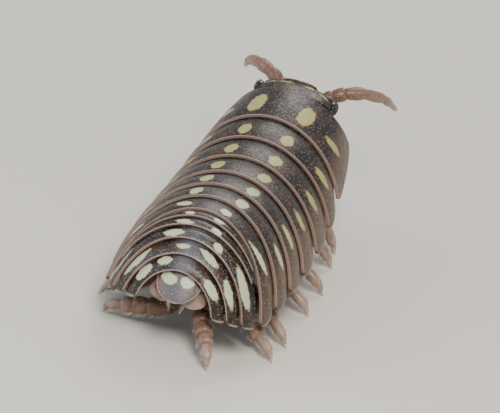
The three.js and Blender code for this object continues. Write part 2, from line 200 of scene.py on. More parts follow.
def under_plate(k, a, u, depth):
    """A point of plate k, a share u from its front edge to its rear, so deep under its top."""
    inward = edge_inward(k - 1, a).lerp(edge_inward(k, a), u).normalized()
    return edge_point(k - 1, a).lerp(edge_point(k, a), u) + inward * depth


def smooth(low, high, value):
    """0 up to low, 1 from high on, and an even swing between them."""
    share = min(1, max(0, (value - low) / (high - low)))
    return share * share * (3 - 2 * share)


# Pale spots of each plate, as a share of the half arch to the animal's left (negative to
# the right), a share along, and half sizes in mm across and along, and a turn in degrees.
ROW_SPOT = [(0.2, 0.66, 0.15, 0.21, -12), (-0.2, 0.66, 0.15, 0.21, 12)]
SIDE_SPOT = [(0.63, 0.6, 0.3, 0.11, 0), (-0.63, 0.6, 0.3, 0.11, 0)]
FAR_MM = 9.0  # further than any spot or rim reaches
SPOTS = {
    "pereonite_1": [(0.26, 0.6, 0.2, 0.34, -8), (-0.26, 0.6, 0.2, 0.34, 8), *SIDE_SPOT],
    "pereonite_2": ROW_SPOT + SIDE_SPOT,
    "pereonite_3": ROW_SPOT + SIDE_SPOT,
    "pereonite_4": ROW_SPOT + SIDE_SPOT,
    "pereonite_5": ROW_SPOT + SIDE_SPOT,
    "pereonite_6": ROW_SPOT + [(0.66, 0.55, 0.3, 0.1, 0), (-0.68, 0.5, 0.32, 0.1, 0)],
    "pereonite_7": [(0.23, 0.64, 0.22, 0.1, -10), (-0.14, 0.68, 0.14, 0.12, 20),
                    (0.66, 0.6, 0.3, 0.09, 0), (-0.58, 0.66, 0.36, 0.09, 0)],
    "pleonite_1": [(0.13, 0.7, 0.12, 0.06, 0), (-0.14, 0.66, 0.12, 0.06, 0)],
    "pleonite_2": [(0.14, 0.72, 0.2, 0.07, 0), (-0.16, 0.72, 0.14, 0.07, 15)],
    "pleonite_3": [(0.21, 0.64, 0.22, 0.09, 0), (-0.26, 0.62, 0.15, 0.1, 30),
                   (0.75, 0.4, 0.36, 0.11, 0), (-0.67, 0.54, 0.52, 0.15, 0)],
    "pleonite_4": [(0.08, 0.5, 0.14, 0.07, 0), (-0.25, 0.46, 0.26, 0.09, 12),
                   (0.64, 0.42, 0.42, 0.12, 0), (-0.69, 0.6, 0.34, 0.1, 0)],
    "pleonite_5": [(0.29, 0.34, 0.16, 0.1, 0), (0.63, 0.38, 0.25, 0.13, 0),
                   (-0.55, 0.54, 0.27, 0.1, 0)],
}


def spot_distance(spots, point):
    """Distance in mm to the nearest pale spot's border, negative inside it."""
    nearest = FAR_MM
    for centre, across, along, half_across, half_along, turn in spots:
        offset = point - centre
        x, y = offset.dot(across), offset.dot(along)
        turned_x = x * cos(radians(turn)) + y * sin(radians(turn))
        turned_y = y * cos(radians(turn)) - x * sin(radians(turn))
        reach = hypot(turned_x / half_across, turned_y / half_along)
        nearest = min(nearest, (reach - 1) * min(half_across, half_along))
    return nearest


def write_attributes(piece, **values):
    """Writes each list, or one number for all, as a named value of the piece's vertices."""
    for name, given in values.items():
        layer = piece.data.attributes.new(name, "FLOAT", "POINT")
        count = len(piece.data.vertices)
        layer.data.foreach_set("value", given if isinstance(given, list) else [float(given)] * count)


def choose(*pieces):
    """Selects only these pieces, the first one active."""
    bpy.ops.object.select_all(action="DESELECT")
    for piece in pieces:
        piece.select_set(True)
    bpy.context.view_layer.objects.active = pieces[0]


def finish_with(piece, *modifiers):
    """Adds modifiers, each a kind and its settings, and applies them in turn."""
    choose(piece)
    for kind, settings in modifiers:
        modifier = piece.modifiers.new(kind.lower(), kind)
        for key, value in settings.items():
            setattr(modifier, key, value)
        bpy.ops.object.modifier_apply(modifier=modifier.name)


def face_outward(piece):
    choose(piece)
    bpy.ops.object.mode_set(mode="EDIT")
    bpy.ops.mesh.select_all(action="SELECT")
    bpy.ops.mesh.normals_make_consistent(inside=False)
    bpy.ops.object.mode_set(mode="OBJECT")


def dress(piece, material, slot, *nodes):
    """Turns the faces outward, smooths the shading, gives a piece its material, hangs it under the root and
    hides the solids named in nodes. slot is not used.
    """
    face_outward(piece)
    bpy.ops.object.shade_smooth()
    piece.data.materials.clear()
    piece.data.materials.append(material)
    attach(piece, "root")
    if nodes:
        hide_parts(*nodes)


# Cuticle of the back: chitin hardened and tanned dark, with a waxy satin surface of fine
# grains. Pale spots show through it where no pigment lies, with rust-brown flecks round them.
DARK = "#150f0d"
BROWN = "#3b291c"
# The grey below is a painted blue-grey sheen on the back plates' mid back, and the telson's own grey.
GREY_AND_SHEEN = "#686b74"
FLANK = "#5a4028"
SPOT_GREEN = "#bfcaa6"
SPOT_YELLOW = "#a3a066"
FLECK = "#6e4326"
DOT = "#a8988a"
RIM = "#a38c80"
GRAIN_MM = 0.045
DOT_MM = 0.06
FINE_MM = 0.09
MOTTLE_MM = 0.35
RAGGED_MM = 0.08  # how far each noise moves a spot's border
FLECK_SPREAD_MM = 0.6  # how far flecks stray from it
GREEN_FROM_MM = 3.4  # spots behind this place are green
YELLOW_FROM_MM = 1.0  # and those ahead of this one yellow


def cuticle(name, ground, cloud):
    """Dark ground with layers over it, each fading in as its value goes from low to high."""
    material, shader = new_material(name)
    places = node(material, "ShaderNodeTexCoord").outputs["Object"]
    spot, edge, middle = (
        node(material, "ShaderNodeAttribute", attribute_name=key).outputs["Fac"]
        for key in ("spot_mm", "edge_mm", "middle")
    )
    mottle, fine = (
        node(material, "ShaderNodeTexNoise", [
            ("Vector", places), ("Scale", 1 / (size * MM)), ("Detail", 5.0),
        ]).outputs["Fac"]
        for size in (MOTTLE_MM, FINE_MM)
    )
    dots, grain = (
        node(material, "ShaderNodeTexVoronoi", [
            ("Vector", places), ("Scale", 1 / (size * MM)),
        ]).outputs["Distance"]
        for size in (DOT_MM, GRAIN_MM)
    )
    ragged = spot
    for noise in (fine, mottle):
        ragged = node(material, "ShaderNodeMath", [(0, noise), (1, RAGGED_MM), (2, ragged)],
                      operation="MULTIPLY_ADD").outputs[0]
    flecked = node(material, "ShaderNodeMath", [(0, fine), (1, FLECK_SPREAD_MM), (2, ragged)],
                   operation="MULTIPLY_ADD").outputs[0]
    height = node(material, "ShaderNodeSeparateXYZ", [("Vector", places)])
    forward = node(material, "ShaderNodeMapRange", [
        ("Value", height.outputs["Y"]), ("From Min", GREEN_FROM_MM * MM),
        ("From Max", YELLOW_FROM_MM * MM),
    ])
    pale = node(material, "ShaderNodeMix", [
        (0, forward.outputs["Result"]), (6, linear(SPOT_GREEN)), (7, linear(SPOT_YELLOW)),
    ], data_type="RGBA").outputs[2]
    colour = linear(ground)
    for value, low, high, most, over in (
        (mottle, 0.45, 0.7, 1.0, linear(cloud)),
        # On the back plates this mid-back grey is a painted blue-grey sheen; on the telson it is its own
        # grey.
        (middle, 0.1, 1.0, 0.75, linear(GREY_AND_SHEEN)),
        (middle, -0.1, -0.9, 0.65, linear(FLANK)),
        (dots, 0.3, 0.14, 0.7, linear(DOT)),
        (flecked, 0.44, 0.34, 0.5, linear(FLECK)),
        (ragged, 0.1, 0.07, 1.0, pale),
        (edge, 0.045, 0.015, 0.75, linear(RIM)),
    ):
        share = node(material, "ShaderNodeMapRange", [
            ("Value", value), ("From Min", low), ("From Max", high), ("To Max", most),
        ], interpolation_type="SMOOTHSTEP")
        colour = node(material, "ShaderNodeMix", [
            (0, share.outputs["Result"]), (6, colour), (7, over),
        ], data_type="RGBA").outputs[2]
    material.node_tree.links.new(colour, shader.inputs["Base Color"])
    gloss = node(material, "ShaderNodeMapRange", [
        ("Value", fine), ("From Min", 0.3), ("From Max", 0.7), ("To Min", 0.32), ("To Max", 0.5),
    ])
    material.node_tree.links.new(gloss.outputs["Result"], shader.inputs["Roughness"])
    bumps = node(material, "ShaderNodeBump", [
        ("Height", grain), ("Strength", 0.35), ("Distance", 0.012 * MM),
    ], invert=True)
    swell = node(material, "ShaderNodeBump", [
        ("Height", mottle), ("Strength", 0.3), ("Distance", 0.05 * MM), ("Normal", bumps.outputs["Normal"]),
    ])
    material.node_tree.links.new(swell.outputs["Normal"], shader.inputs["Normal"])
    shader.inputs["IOR"].default_value = 1.54
    return material


plate_chitin = cuticle("tanned_dark_chitin", DARK, BROWN)

ACROSS_STEPS = 120
ALONG_STEPS = 20
HIDDEN_ROWS = 5  # of those along, under the plate before
HIDDEN_MM = 0.2
EMERGES = (0.8, 0.93)  # the shares of the half arch between which that front comes into view
END_CROWDING = 0.3  # above 0, steps across crowd towards the lower ends
REAR_CROWDING = 1.35  # above 1, steps along crowd towards the rear edge
FRONT_STEP = 0.03
DOME_MM = 0.035
ROUND_FROM = 0.92
ROUND_OFF = 0.26
SHEET_MM = 0.07
FRONT_INSET = 0.095
EDGE_ROUND_MM = 0.025
EDGE_ANGLE = radians(50)
ARC_PER_HALF = 1.3  # the arch's length for each mm of half width, near its end
FRONT_RIM_FROM = 0.9
SHEEN_TO = 0.3  # the painted blue-grey sheen of the mid back fades out by this share of the half arch
FLANK_FROM_TO = (0.5, 0.85)  # and the brown of the sides fades in between these
SPOT_STEPS = (0.02, 0.05)  # small steps of the two shares, to find a spot's directions
# How strong the painted blue-grey sheen is on each plate's mid back, from the first plate to the last.
SHEEN_STRENGTH = [0.3, 0.3, 0.35, 0.35, 0.4, 0.45, 0.5, 0.5, 0.55, 0.7, 0.95, 1.0]


def thicken(piece, thick_mm, outward, round_mm):
    """Gives a sheet its thickness on the body's side and rounds its free edges."""
    finish_with(
        piece,
        ("SOLIDIFY", {"thickness": thick_mm * MM, "offset": -1 if outward else 1}),
        ("BEVEL", {"width": round_mm * MM, "segments": 3, "limit_method": "ANGLE",
                   "angle_limit": EDGE_ANGLE}),
    )


def back_plate(k):
    row = EDGES[k]
    reach = row.get("across", 1.0)
    bpy.ops.mesh.primitive_grid_add(x_subdivisions=ACROSS_STEPS, y_subdivisions=ALONG_STEPS, size=2)
    piece = bpy.context.object
    piece.name = row["name"] + "_shell"
    spots = []
    for a, u, *sizes in SPOTS[row["name"]]:
        centre = under_plate(k, abs(a), u, 0)
        across = (under_plate(k, abs(a) + SPOT_STEPS[0], u, 0) - centre).normalized()
        along = (under_plate(k, abs(a), u + SPOT_STEPS[1], 0) - centre).normalized()
        flip = Vector((-1 if a < 0 else 1, 1, 1))
        spots.append((centre * flip, across * flip, along * flip, *sizes))
    spot_values, edge_values, sheen_and_flank_values = [], [], []
    hidden_to = HIDDEN_ROWS / ALONG_STEPS
    for vertex in piece.data.vertices:
        x = abs(vertex.co.x)
        a = x * (1 + END_CROWDING - END_CROWDING * x * x) if reach == 1 else x * reach
        row_share = (vertex.co.y + 1) / 2
        corner = max(0.0, (a - ROUND_FROM) / (1 - ROUND_FROM))
        cut = ROUND_OFF * (1 - sqrt(max(0.0, 1 - corner * corner)))
        if k > 1 and row_share < hidden_to:
            hidden = HIDDEN_MM * (1 - row_share / hidden_to) * (1 - smooth(*EMERGES, a))
            share = hidden / EDGES[k - 1]["length"]
            point = under_plate(k - 1, a, 1 - share, FRONT_INSET - DOME_MM * sin(pi * share))
            u = cut + FRONT_STEP * row_share / hidden_to
            on_end = under_plate(k, a, u, FRONT_INSET * (1 - u) ** 2 - DOME_MM * sin(pi * u))
            point = point.lerp(on_end, smooth(*EMERGES, a))
        else:
            start = hidden_to if k > 1 else 0
            shown = (row_share - start) / (1 - start)
            first = cut + FRONT_STEP
            u = first + (1 - cut - first) * (1 - (1 - shown) ** REAR_CROWDING)
            inset = FRONT_INSET if k > 1 else 0
            point = under_plate(k, a, u, inset * (1 - u) ** 2 - DOME_MM * sin(pi * u))
        point.x *= -1 if vertex.co.x < 0 else 1
        spot_values.append(spot_distance(spots, point))
        length = (edge_point(k, a) - edge_point(k - 1, a)).length
        to_end = (1 - a) * row["half"] * ARC_PER_HALF if reach == 1 else FAR_MM
        to_front = u * length if a > FRONT_RIM_FROM else FAR_MM
        edge_values.append(min((1 - u) * length, to_end, to_front))
        # The mid back's value paints a blue-grey sheen, strongest on the hind plates; the negative value on
        # the sides is their own brown.
        side = -smooth(*FLANK_FROM_TO, a) if k <= PEREONITES else 0
        sheen_and_flank_values.append(max(0.0, 1 - a / SHEEN_TO) * SHEEN_STRENGTH[k - 1] + side)
        vertex.co = point * MM
    write_attributes(piece, spot_mm=spot_values, edge_mm=edge_values, middle=sheen_and_flank_values)
    top = piece.data.polygons[len(piece.data.polygons) // 2]
    thicken(piece, SHEET_MM, top.normal.z > 0, EDGE_ROUND_MM)
    dress(piece, plate_chitin, "shell_cuticle", row["name"])


for k in range(1, len(EDGES)):
    back_plate(k)

# The soft body under the plates: pale thin skin with a fold across the underside at each
# leg pair. It fills the space that the plates' edges leave open.
SKIN_FROM = 0.12
SKIN_TO = 11.6
SKIN_WIDE = 0.6
SKIN_MIDDLE = 0.43
SKIN_HALF_DEPTH = 0.22
SKIN_BLUNT = 0.4  # the lower, the blunter its two ends
SKIN_SQUARED = 0.8
FOLD_MM = 0.05


def ball(name, around, down, move):
    """A ball with each vertex sent to a place in mm that a function finds."""
    bpy.ops.mesh.primitive_uv_sphere_add(segments=around, ring_count=down, radius=1)
    piece = bpy.context.object
    piece.name = name
    for vertex in piece.data.vertices:
        vertex.co = move(vertex.co.copy()) * MM
    return piece


def squared(value, power):
    """A coordinate of a ball, pushed out towards a box where power is below 1."""
    return abs(value) ** power * (-1 if value < 0 else 1)


def skin_point(v):
    """v is a point of a ball: v.z runs from the neck to the tail, v.x across and v.y up."""
    place = SKIN_FROM + (SKIN_TO - SKIN_FROM) * (v.z + 1) / 2
    k = int(place)
    ring = max(1e-6, sqrt(max(0, 1 - v.z * v.z)))
    ring_size = ring ** SKIN_BLUNT
    rows = [EDGES[k], EDGES[k + 1]]
    share = place - k
    half, height = (rows[0][key] * (1 - share) + rows[1][key] * share for key in ("half", "height"))
    top, normal = (rows[0][key].lerp(rows[1][key], share) for key in ("top", "normal"))
    across = squared(v.x / ring, SKIN_SQUARED) * ring_size
    upward = squared(v.y / ring, SKIN_SQUARED) * ring_size
    fold = 0
    if place < PEREONITES + 0.5:
        fold = FOLD_MM * (0.5 - 0.5 * cos(2 * pi * place)) * max(0, -upward)
    point = top - normal * (height * (SKIN_MIDDLE - SKIN_HALF_DEPTH * upward) + fold)
    point.x = across * half * SKIN_WIDE + ORIGIN.x
    return point


def soft_skin(name, pale, deep, rough):
    """Thin skin, clouded from pale to deep, that lets some light in."""
    material, shader = new_material(name)
    places = node(material, "ShaderNodeTexCoord").outputs["Object"]
    cloud = node(material, "ShaderNodeTexNoise", [
        ("Vector", places), ("Scale", 1 / (0.25 * MM)), ("Detail", 4.0),
    ]).outputs["Fac"]
    colour = node(material, "ShaderNodeMix", [(0, cloud), (6, linear(pale)), (7, linear(deep))],
                  data_type="RGBA")
    material.node_tree.links.new(colour.outputs[2], shader.inputs["Base Color"])
    bumps = node(material, "ShaderNodeBump", [("Height", cloud), ("Strength", 0.3), ("Distance", 0.03 * MM)])
    material.node_tree.links.new(bumps.outputs["Normal"], shader.inputs["Normal"])
    shader.inputs["Roughness"].default_value = rough
    shader.inputs["Subsurface Weight"].default_value = 0.2
    shader.inputs["Subsurface Radius"].default_value = (0.12 * MM, 0.06 * MM, 0.04 * MM)
    return material


belly_skin = soft_skin("thin_pale_skin", "#a8927c", "#6f5c4c", 0.5)
gill_skin = soft_skin("moist_gill_membrane", "#cfc3b2", "#a3927f", 0.3)
dress(ball("underside_skin", 48, 140, skin_point), belly_skin, "gill_cuticle")

# Five pairs of gill flaps that overlap like tiles under the tail. They lie in the hollow
# between the side plates, each pair smaller than the pair before it.
FLAP_PAIRS = 5
# The first pair's place and width in mm, with the change from there to the last pair.
FLAP_OUT = (0.26, -0.08)
FLAP_BACK = (6.4, 0.58)
FLAP_UP = (1.6, -0.14)
FLAP_WIDE = (0.28, -0.06)
FLAP = {"long": 0.24, "thick": 0.07, "sag": 0.03, "tilt": 0.4, "squared": 0.85}


def joined(name, pieces):
    """Makes one piece of several."""
    choose(*pieces)
    bpy.ops.object.join()
    piece = bpy.context.object
    piece.name = name
    return piece


def gill_flap(i, side):
    t = i / (FLAP_PAIRS - 1)
    out, back, up, wide = (first + change * t for first, change in (FLAP_OUT, FLAP_BACK, FLAP_UP, FLAP_WIDE))
    centre = Vector((side * out, back, up)) + ORIGIN

    def move(v):
        tilted = Vector((0, v.y * FLAP["long"], FLAP["thick"] * v.z - FLAP["sag"] * v.x * v.x))
        tilted.rotate(Matrix.Rotation(-FLAP["tilt"], 3, "X"))
        return centre + Vector((squared(v.x, FLAP["squared"]) * wide, tilted.y, tilted.z))

    return ball("flap", 24, 14, move)


flaps = joined("gill_flaps", [gill_flap(i, side) for i in range(FLAP_PAIRS) for side in (1, -1)])
dress(flaps, gill_skin, "gill_cuticle", "pleopods")

# The telson: a short broad rounded plate of the same cuticle, greyer than the rest, with
# two pale green patches and browner corners. Its front lies under the last pleonite.
TELSON = {"length": 0.75, "half": 0.55, "slope": 67, "crown": 0.15, "widest": 0.3}
TELSON_NECK = 0.5  # the front edge's width and the tip's, as shares of the widest
TELSON_TIP = 0.17
TELSON_UNDER_MM = 0.06  # how far the front lies under the last pleonite
TELSON_INSET_MM = 0.16  # and how deep
TELSON_ROUND_MM = 0.03
TELSON_STEPS = (44, 36)  # across and along
TELSON_GREY = (0.8, 0.1)  # how grey its middle and its corners are
TELSON_GREY_FROM_TO = (0.25, 0.5)  # out from the middle, in mm
TELSON_RIM_SHARE = 0.9  # the rim is a little wider at the tip than at the sides
TELSON_SPOTS = [(0.24, 0.21, 0.2, 0.13, -10), (-0.2, 0.2, 0.15, 0.14, 0)]
TELSON_SHEET_MM = 0.09
TELSON_DARK = "#45352f"
TELSON_BROWN = "#7a5236"


def tail_point(left, along, out):
    """A point to the left of the middle, along the telson from its front edge, and outward."""
    slope = radians(TELSON["slope"])
    point = EDGES[-1]["top"] + Vector((0, cos(slope), -sin(slope))) * along
    point += Vector((0, sin(slope), cos(slope))) * out
    point.x = left + ORIGIN.x
    return point


bpy.ops.mesh.primitive_grid_add(x_subdivisions=TELSON_STEPS[0], y_subdivisions=TELSON_STEPS[1], size=2)
telson = bpy.context.object
telson.name = "telson_shell"
telson_spots = [
    (tail_point(x, y, 0), Vector((1, 0, 0)), (tail_point(0, 1, 0) - tail_point(0, 0, 0)), *sizes)
    for x, y, *sizes in TELSON_SPOTS
]
telson_spot, telson_edge, telson_middle = [], [], []
for vertex in telson.data.vertices:
    along = sin((vertex.co.y + 1) * pi / 4)
    past = max(0, (along - TELSON["widest"]) / (1 - TELSON["widest"]))
    outline = max(TELSON_TIP, sqrt(max(0, 1 - past * past)))
    neck = min(1, along / TELSON["widest"])
    wide = TELSON["half"] * outline * (TELSON_NECK + (1 - TELSON_NECK) * neck)
    x = wide * sin(vertex.co.x * pi / 2)
    inset = TELSON_INSET_MM * (1 - along) ** 2 + TELSON["crown"] * (x / TELSON["half"]) ** 2
    y = -TELSON_UNDER_MM + (TELSON["length"] + TELSON_UNDER_MM) * along
    point = tail_point(x, y, -inset)
    telson_spot.append(spot_distance(telson_spots, tail_point(x, y, 0)))
    telson_edge.append(min(wide - abs(x), (1 - along) * TELSON["length"] * TELSON_RIM_SHARE))
    corner = smooth(*TELSON_GREY_FROM_TO, abs(x))
    telson_middle.append(TELSON_GREY[0] - (TELSON_GREY[0] - TELSON_GREY[1]) * corner)
    vertex.co = point * MM
write_attributes(telson, spot_mm=telson_spot, edge_mm=telson_edge, middle=telson_middle)
outward = telson.data.polygons[len(telson.data.polygons) // 2].normal.y > 0
thicken(telson, TELSON_SHEET_MM, outward, TELSON_ROUND_MM)
telson_chitin = cuticle("greyed_telson_chitin", TELSON_DARK, TELSON_BROWN)
dress(telson, telson_chitin, "shell_cuticle", "telson")

# Cuticle of the limbs: thin amber chitin that lets some light in, dark brown at the root and
# pale pinkish brown towards the end, with stiff straw-coloured hairs.
# Colours by reach, a value of each vertex that grows from root to tip. Hairs are the last.
LIMB_STOPS = [(0.0, "#4a3322"), (0.45, "#735543"), (0.8, "#957c6d"), (1.0, "#ab9789"), (1.5, "#d3c6b3")]
LIMB_DARK = "#3c2618"
LIMB_CLOUD_MM = 0.16
limb_chitin, limb_shader = new_material("amber_limb_chitin")
limb_places = node(limb_chitin, "ShaderNodeTexCoord").outputs["Object"]
limb_reach = node(limb_chitin, "ShaderNodeAttribute", attribute_name="reach").outputs["Fac"]
limb_cloud = node(limb_chitin, "ShaderNodeTexNoise", [
    ("Vector", limb_places), ("Scale", 1 / (LIMB_CLOUD_MM * MM)), ("Detail", 5.0),
]).outputs["Fac"]
limb_colour = linear(LIMB_STOPS[0][1])
for (low, _), (high, shade) in zip(LIMB_STOPS, LIMB_STOPS[1:]):
    limb_share = node(limb_chitin, "ShaderNodeMapRange", [
        ("Value", limb_reach), ("From Min", low), ("From Max", high),
    ]).outputs["Result"]
    limb_colour = node(limb_chitin, "ShaderNodeMix", [(0, limb_share), (6, limb_colour), (7, linear(shade))],
                       data_type="RGBA").outputs[2]
limb_dark = node(limb_chitin, "ShaderNodeMapRange", [
    ("Value", limb_cloud), ("From Min", 0.5), ("From Max", 0.75), ("To Max", 0.6),
]).outputs["Result"]
limb_colour = node(limb_chitin, "ShaderNodeMix", [(0, limb_dark), (6, limb_colour), (7, linear(LIMB_DARK))],
                   data_type="RGBA").outputs[2]
limb_chitin.node_tree.links.new(limb_colour, limb_shader.inputs["Base Color"])
limb_bumps = node(limb_chitin, "ShaderNodeBump", [
    ("Height", limb_cloud), ("Strength", 0.4), ("Distance", 0.02 * MM),
])
limb_chitin.node_tree.links.new(limb_bumps.outputs["Normal"], limb_shader.inputs["Normal"])
limb_shader.inputs["Roughness"].default_value = 0.36
limb_shader.inputs["Subsurface Weight"].default_value = 0.15
limb_shader.inputs["Subsurface Radius"].default_value = (0.1 * MM, 0.05 * MM, 0.03 * MM)

# The fourteen legs. Each is a row of hard tubes that narrow at the joints, from the basis
# under the body to a small clawed foot on the floor, with stiff hairs along the inner side.
SIDES = (("left", 1), ("right", -1))
# Where each foot stands, out from the middle and behind the root, and for the last pair the
# knee too: out, behind and up. These repeat the solids' legs.
STANCE = [
    {"left": [1.75, -0.45], "right": [1.85, -0.15]},
    {"left": [2.05, -0.1], "right": [2.0, -0.4]},
    {"left": [2.15, -0.25], "right": [2.25, 0.1]},
    {"left": [2.35, 0.25], "right": [2.3, 0.35]},
    {"left": [2.3, 0.15], "right": [2.35, 1.35]},
    {"left": [2.25, 0.7], "right": [2.3, 1.5]},
    {"left": [1.9, 0.95, 0.28, 1.05, 0.66], "right": [1.13, 2.3, 0.45, 1.2, 0.9]},
]
BELLY = 0.64
GAP = 0.12
LEG = {"root_out": 0.46, "root_along": 0.6, "root_sunk": 0.2, "knee_in": 0.26, "knee_back": 0.3,
       "knee_under": 0.12, "ankle_in": 0.06, "ankle_high": 0.24, "bend_at": 0.6, "bend_drop": 0.24}
BASIS = {"wide": (0.22, 0.235), "reach": (0.0, 0.2)}
# Each article's end from knee to ankle, its radius in mm at both ends, and its rows of hairs.
ARTICLES = [
    {"end": 0.3, "wide": (0.2, 0.235), "hairs": 3, "reach": (0.2, 0.45)},
    {"end": 0.52, "wide": (0.2, 0.235), "hairs": 4, "reach": (0.45, 0.6)},
    {"end": 0.72, "wide": (0.18, 0.2), "hairs": 7, "reach": (0.6, 0.78)},
    {"end": 1.0, "wide": (0.14, 0.115), "hairs": 9, "reach": (0.78, 0.95)},
]
TOE = {"from": 0.3, "wide": (0.09, 0.05), "reach": (0.95, 1.0)}
# An article is narrowest at its waist and swells from there, and it is a little longer than
# the span between its joints, sunk into the article before it.
ARTICLE = {"blunt": 0.24, "waist": 0.88, "swell": 0.13, "swells": (0.05, 0.8), "long": 1.14, "sunk": 0.1}
# Hairs stand in rows of three along an article, each with a little chance in it.
HAIR = {"leans": (-0.45, 0.0, 0.45), "stray": 0.15, "from": 0.14, "span": 0.82, "rooted": 0.9,
        "out": 0.75, "forward": 0.65, "lengths": (0.7, 1.15), "wide": 0.01, "bend": -0.012, "lowest": 0.012}
HAIR_REACH = 1.35
# A leg's hairs face in, back and down, and fewer and shorter ones face out and up.
INNER_HAIRS = {"facing": (-0.3, 0.2, -1), "long": 0.15}
OUTER_HAIRS = {"facing": (1, 0.3, 0.6), "long": 0.06, "count": 2}
# The large and the small claw: how far ahead of the toe's end each starts, how far ahead of
# the foot it ends, its radius and its bend.
CLAWS = [(-0.02, 0.05, 0.042, 0.03), (0.0, -0.01, 0.022, 0.02)]


def article(start, end, wides, reach):
    """A rounded tube from joint to joint, swollen beyond its middle."""
    way = (end - start).normalized()
    beside = way.orthogonal().normalized()
    over = way.cross(beside)
    reaches = []

    def move(v):
        ring = max(1e-6, sqrt(max(0, 1 - v.z * v.z)))
        t = (v.z + 1) / 2
        swell = ARTICLE["waist"] + ARTICLE["swell"] * smooth(*ARTICLE["swells"], t)
        wide = (wides[0] + (wides[1] - wides[0]) * t) * ring ** ARTICLE["blunt"] * swell
        reaches.append(reach[0] + (reach[1] - reach[0]) * t)
        at = start + (end - start) * (t * ARTICLE["long"] - ARTICLE["sunk"])
        return at + (beside * v.x + over * v.y) * (wide / ring)

    piece = ball("article", 18, 16, move)
    write_attributes(piece, reach=reaches)
    return piece


def needles(rows):
    """Curved hairs as thin closed cones: each row is a root, a tip, a radius and a bend."""
    sides, rings = 5, 4
    points, faces = [], []
    for root, tip, wide, bend in rows:
        way = (tip - root).normalized()
        beside = way.orthogonal().normalized()
        over = way.cross(beside)
        first = len(points)
        for i in range(rings):
            t = i / rings
            at = root.lerp(tip, t) + bend * sin(pi * t)
            for j in range(sides):
                turn = 2 * pi * j / sides
                points.append((at + (beside * cos(turn) + over * sin(turn)) * wide * (1 - t)) * MM)
        points.append(tip * MM)
        faces.append([first + j for j in reversed(range(sides))])
        for i in range(rings - 1):
            for j in range(sides):
                a, b = first + i * sides + j, first + i * sides + (j + 1) % sides
                faces.append([a, b, b + sides, a + sides])
        last = first + (rings - 1) * sides
        faces += [[last + j, last + (j + 1) % sides, len(points) - 1] for j in range(sides)]
    mesh = bpy.data.meshes.new("hairs")
    mesh.from_pydata([tuple(p) for p in points], [], faces)
    piece = bpy.data.objects.new("hairs", mesh)
    bpy.context.scene.collection.objects.link(piece)
    write_attributes(piece, reach=HAIR_REACH)
    return piece


def hair_row(start, end, wide, count, facing, length, dice):
    """Hairs along one side of an article, leaning towards its end."""
    way = (end - start).normalized()
    facing = (facing - way * facing.dot(way)).normalized()
    beside = way.cross(facing)
    rows = []
    for i in range(count):
        for lean in HAIR["leans"]:
            t = HAIR["from"] + HAIR["span"] * (i + dice.uniform(0.2, 0.8)) / count
            stray = dice.uniform(-HAIR["stray"], HAIR["stray"])
            out = (facing + beside * (lean + stray)).normalized()
            root = start.lerp(end, t) + out * wide * HAIR["rooted"]
            aim = out * HAIR["out"] + way * HAIR["forward"]
            tip = root + aim * length * dice.uniform(*HAIR["lengths"])
            tip.z = max(tip.z, HAIR["lowest"])
            rows.append((root, tip, HAIR["wide"], way * HAIR["bend"]))
    return rows


def leg(k, hand, side):
    stance = STANCE[k - 1][hand]
    dice = random.Random(k * 2 + side)
    edge = EDGES[k]
    root_out = LEG["root_out"] * edge["half"]
    belly = [e["top"] - e["normal"] * (BELLY * e["height"]) for e in (EDGES[k - 1], edge)]
    root = belly[0].lerp(belly[1], LEG["root_along"]) - edge["normal"] * GAP
    root.x = side * root_out + ORIGIN.x
    place = stance[2:] or [
        root_out - LEG["knee_in"], LEG["knee_back"] * stance[1], edge["tip"].z - LEG["knee_under"]]
    knee = Vector((side * place[0] + ORIGIN.x, root.y + place[1], place[2]))
    foot = Vector((side * stance[0] + ORIGIN.x, root.y + stance[1], 0))
    ankle = foot.lerp(knee, LEG["ankle_in"])
    ankle.z = LEG["ankle_high"]
    bend = knee.lerp(ankle, LEG["bend_at"])
    bend.z = knee.z - LEG["bend_drop"]
    parts = [article(root + edge["normal"] * LEG["root_sunk"], knee, BASIS["wide"], BASIS["reach"])]
    hairs = []
    inner, outer = (
        Vector((side * out, back, up)) for out, back, up in (INNER_HAIRS["facing"], OUTER_HAIRS["facing"]))
    start = knee
    for row in ARTICLES:
        t = row["end"]
        end = knee * (1 - t) ** 2 + bend * (2 * t * (1 - t)) + ankle * t ** 2
        parts.append(article(start, end, row["wide"], row["reach"]))
        hairs += hair_row(start, end, row["wide"][1], row["hairs"], inner, INNER_HAIRS["long"], dice)
        hairs += hair_row(
            start, end, row["wide"][1], OUTER_HAIRS["count"], outer, OUTER_HAIRS["long"], dice)
        start = end
    toe = foot.lerp(ankle, TOE["from"])
    parts.append(article(ankle, toe, TOE["wide"], TOE["reach"]))
    outward = Vector((foot.x - knee.x, foot.y - knee.y, 0)).normalized()
    for from_toe, from_foot, wide, bent in CLAWS:
        hairs.append((toe + outward * from_toe, foot + outward * from_foot, wide, outward * bent))
    parts.append(needles(hairs))
    dress(joined(f"leg_{k}_{hand}_limb", parts), limb_chitin, "limb_cuticle", f"leg_{k}_{hand}")


for k in range(1, PEREONITES + 1):
    for hand, side in SIDES:
        leg(k, hand, side)

# The two uropods. Each has a thin pale blade that fills the notch beside the telson, with a
# fringe of hairs round it, and a small hairy cone under the telson's edge.
BLADE = {"out": 0.42, "along": 0.56, "sunk": 0.46, "half": (0.27, 0.22, 0.05), "lean": 0.35}
BLADE_REACH = 0.9  # its colour, among those of the limbs
BLADE_SAG = 0.3
CONE = {"root": (0.3, 0.42), "tip": (0.15, 0.88), "sunk": 0.54, "wide": (0.09, 0.045), "reach": (0.7, 1.0)}
# The blade's fringe, with roots and tips as shares of the blade's half size, and the cone's tuft.
FRINGE = {"hairs": 26, "from": -20, "turn": 220, "stray": 2, "rooted": 0.94, "tips": 1.13,
          "back": 0.03, "down": 0.4, "wide": 0.0055}
CONE_TUFT = {"hairs": 5, "root": (0.15, 0.85), "tip": (0.14, 1.0), "stray": 0.03, "sunk": 0.56, "wide": 0.008}


